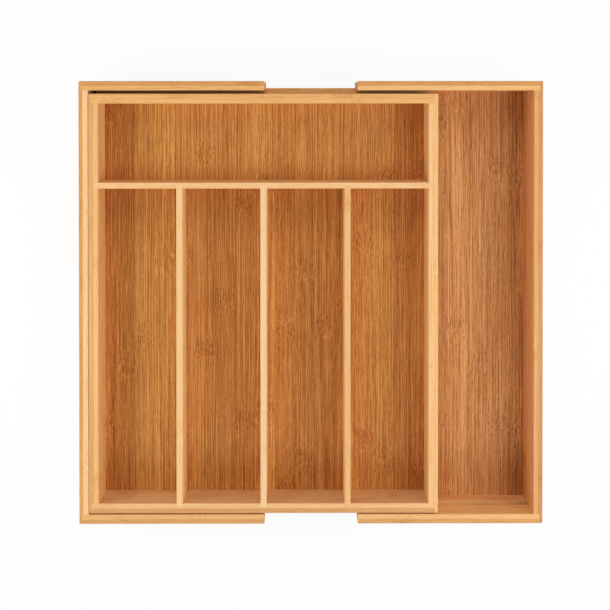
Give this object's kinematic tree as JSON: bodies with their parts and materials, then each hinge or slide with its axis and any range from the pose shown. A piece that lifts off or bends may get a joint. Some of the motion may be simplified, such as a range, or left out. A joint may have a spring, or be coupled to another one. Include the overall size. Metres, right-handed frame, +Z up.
{
  "type": "expanding cutlery tray",
  "caption": "Shallow bamboo cutlery tray: a divided box between two U-shaped wings that slide out sideways to open further compartments.",
  "frame": {"origin": "centre of the tray's footprint on the surface it stands on, with the left wing pushed home and the right wing pulled out, as in the picture", "axes": "+X the way the right wing pulls out, +Y towards the back (the long cross compartment), +Z up"},
  "size_m": [0.45, 0.43, 0.056],
  "materials": {
    "wing_bamboo": "satin",
    "box_bamboo": "satin",
    "divider_bamboo": "satin",
    "floor_bamboo": "satin",
    "strip_bamboo": "satin"
  },
  "bodies": {
    "tray_box": {"box_back_wall": "box_bamboo", "box_front_wall": "box_bamboo", "box_left_wall": "box_bamboo", "box_right_wall": "box_bamboo", "box_bottom_panel": "floor_bamboo", "cross_divider": "divider_bamboo", "long_divider_1": "divider_bamboo", "long_divider_2": "divider_bamboo", "long_divider_3": "divider_bamboo", "box_back_rail": "strip_bamboo", "box_front_rail": "strip_bamboo"},
    "left_wing": {"left_end_wall": "wing_bamboo", "left_back_arm": "wing_bamboo", "left_front_arm": "wing_bamboo", "left_floor": "floor_bamboo", "left_stop_cleat": "strip_bamboo"},
    "right_wing": {"right_end_wall": "wing_bamboo", "right_back_arm": "wing_bamboo", "right_front_arm": "wing_bamboo", "right_floor": "floor_bamboo", "right_stop_cleat": "strip_bamboo"}
  },
  "joints": [
    {"name": "left_wing_slide", "type": "slide", "parent": "tray_box", "child": "left_wing", "axis": [-1, 0, 0], "range_m": [0, 0.0924]},
    {"name": "right_wing_slide", "type": "slide", "parent": "tray_box", "child": "right_wing", "axis": [1, 0, 0], "range_m": [-0.09, 0]}
  ]
}
